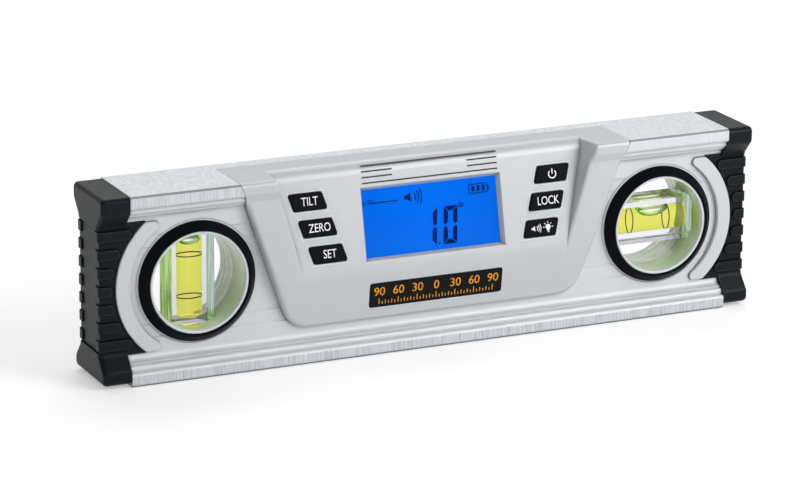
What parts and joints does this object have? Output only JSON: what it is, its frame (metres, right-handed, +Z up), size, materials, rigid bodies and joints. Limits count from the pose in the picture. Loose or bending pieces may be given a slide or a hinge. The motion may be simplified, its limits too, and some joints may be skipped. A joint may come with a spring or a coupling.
{
  "type": "digital spirit level",
  "caption": "Compact digital spirit level: hollow aluminium bar with milled edges, see-through plumb and level vials, ribbed end caps and a sloping console with a lit display and keys.",
  "frame": {"origin": "on the sole of the bar, under the middle of its length and depth", "axes": "+X along the bar to the right seen from the front, +Y to the rear, +Z up"},
  "size_m": [0.2528, 0.029, 0.068],
  "materials": {
    "bar": "extruded and anodised, edges milled",
    "cap": "fine moulded grain",
    "trim": "satin moulded",
    "bezel": "satin black",
    "holder": "smooth, slightly translucent",
    "vial_acrylic": "clear polished",
    "vial_liquid": "clear tinted",
    "vial_air": "clear",
    "cover": "fine silver-grey moulded grain",
    "door": "fine silver-grey moulded grain",
    "pane": "clear polished",
    "lcd": "lit blue panel",
    "backlight": "diffusing",
    "board": "solder resist",
    "chip": "moulded",
    "mat": "silicone",
    "key": "fine grain",
    "badge": "satin black",
    "cell": "plain sleeve",
    "contact": "nickel plated",
    "screw": "plated",
    "magnet": "nickel plated"
  },
  "bodies": {
    "frame": {"aluminium_beam": "bar", "end_cap_left": "cap", "end_cap_right": "cap", "arc_trim_left": "trim", "arc_trim_right": "trim", "vial_bezel_left_front": "bezel", "vial_bezel_left_rear": "bezel", "vial_bezel_right_front": "bezel", "vial_bezel_right_rear": "bezel", "vial_holder_left_front": "holder", "vial_holder_left_rear": "holder", "vial_holder_right_front": "holder", "vial_holder_right_rear": "holder", "vial_block_left": "vial_acrylic", "vial_block_right": "vial_acrylic", "vial_plug_left": "vial_acrylic", "vial_plug_right": "vial_acrylic", "vial_liquid_left": "vial_liquid", "vial_liquid_right": "vial_liquid", "front_cover": "cover", "rear_cover": "cover", "display_window": "pane", "lcd_panel": "lcd", "backlight_panel": "backlight", "circuit_board": "board", "tilt_sensor": "chip", "buzzer": "chip", "key_mats": "mat", "badge_plate": "badge", "battery_cells": "cell", "battery_contacts": "contact", "housing_screws": "screw", "base_magnets": "magnet"},
    "key_left_top": {"key_left_top": "key"},
    "key_left_middle": {"key_left_middle": "key"},
    "key_left_bottom": {"key_left_bottom": "key"},
    "key_right_top": {"key_right_top": "key"},
    "key_right_middle": {"key_right_middle": "key"},
    "key_right_bottom": {"key_right_bottom": "key"},
    "battery_door": {"battery_door": "door"},
    "bubble_plumb": {"vial_bubble_left": "vial_air"},
    "bubble_level": {"vial_bubble_right": "vial_air"}
  },
  "joints": [
    {"name": "key_left_top_press", "type": "slide", "parent": "frame", "child": "key_left_top", "axis": [0, 0.9746, -0.2241], "range_m": [0, 0.0007], "stiffness_N_per_m": 600},
    {"name": "key_left_middle_press", "type": "slide", "parent": "frame", "child": "key_left_middle", "axis": [0, 0.9746, -0.2241], "range_m": [0, 0.0007], "stiffness_N_per_m": 600},
    {"name": "key_left_bottom_press", "type": "slide", "parent": "frame", "child": "key_left_bottom", "axis": [0, 0.9746, -0.2241], "range_m": [0, 0.0007], "stiffness_N_per_m": 600},
    {"name": "key_right_top_press", "type": "slide", "parent": "frame", "child": "key_right_top", "axis": [0, 0.9746, -0.2241], "range_m": [0, 0.0007], "stiffness_N_per_m": 600},
    {"name": "key_right_middle_press", "type": "slide", "parent": "frame", "child": "key_right_middle", "axis": [0, 0.9746, -0.2241], "range_m": [0, 0.0007], "stiffness_N_per_m": 600},
    {"name": "key_right_bottom_press", "type": "slide", "parent": "frame", "child": "key_right_bottom", "axis": [0, 0.9746, -0.2241], "range_m": [0, 0.0007], "stiffness_N_per_m": 600},
    {"name": "battery_door_hinge", "type": "hinge", "parent": "frame", "child": "battery_door", "pos_m": [0, 0.01162, 0.01585], "axis": [-1, 0, 0], "range_deg": [0, 100]},
    {"name": "plumb_bubble_run", "type": "slide", "parent": "frame", "child": "bubble_plumb", "axis": [0, 0, 1], "range_m": [-0.022, 0], "stiffness_N_per_m": 1, "springref_m": 0.012},
    {"name": "level_bubble_run", "type": "slide", "parent": "frame", "child": "bubble_level", "axis": [1, 0, 0], "range_m": [-0.0082, 0.0054], "stiffness_N_per_m": 1}
  ]
}
